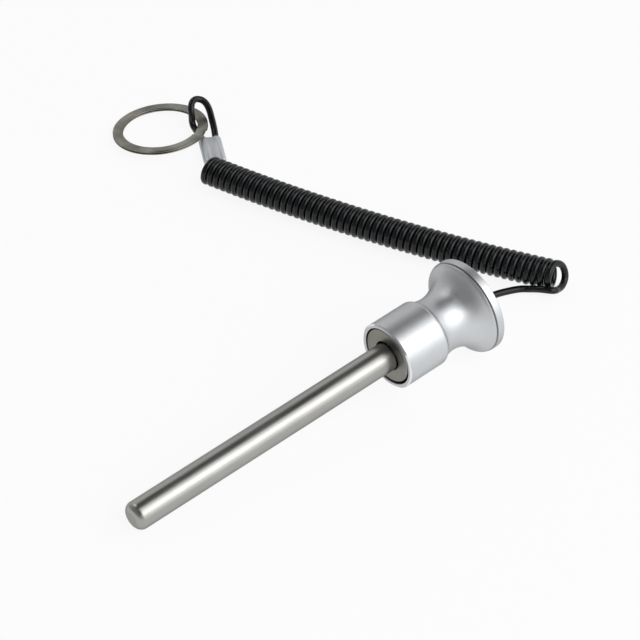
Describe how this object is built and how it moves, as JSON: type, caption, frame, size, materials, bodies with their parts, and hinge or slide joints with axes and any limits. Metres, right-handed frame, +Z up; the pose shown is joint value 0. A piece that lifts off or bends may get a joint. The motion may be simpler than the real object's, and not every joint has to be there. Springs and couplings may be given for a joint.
{
  "type": "weight stack pin",
  "caption": "Straight steel selector pin with a turned aluminium knob, a ring magnet and a coiled cord that ends in a loop round a split ring.",
  "frame": {"origin": "bottom centre of the box round the rod and knob, on the surface on which the pin lies", "axes": "+X from the rod's tip to the knob, level with the surface; +Z up"},
  "size_m": [0.1963, 0.2007, 0.0341],
  "materials": {
    "rod_steel": "satin",
    "knob_aluminium": "satin",
    "magnet_plating": "dull nickel plating",
    "sleeve_aluminium": "satin",
    "cord_plastic": "gloss",
    "ring_steel": "satin"
  },
  "bodies": {
    "pin": {"pin_rod": "rod_steel", "knob": "knob_aluminium", "ring_magnet": "magnet_plating", "cord_stop": "sleeve_aluminium", "cord_lead": "cord_plastic", "cord_coil": "cord_plastic", "cord_loop": "cord_plastic", "crimp_ferrule": "sleeve_aluminium"},
    "ring": {"split_ring": "ring_steel"}
  },
  "joints": [
    {"name": "ring_turn", "type": "hinge", "parent": "pin", "child": "ring", "pos_m": [0.07198, 0.16606, 0.00275], "axis": [-0.0239, 0.1124, 0.9934], "continuous": true}
  ]
}
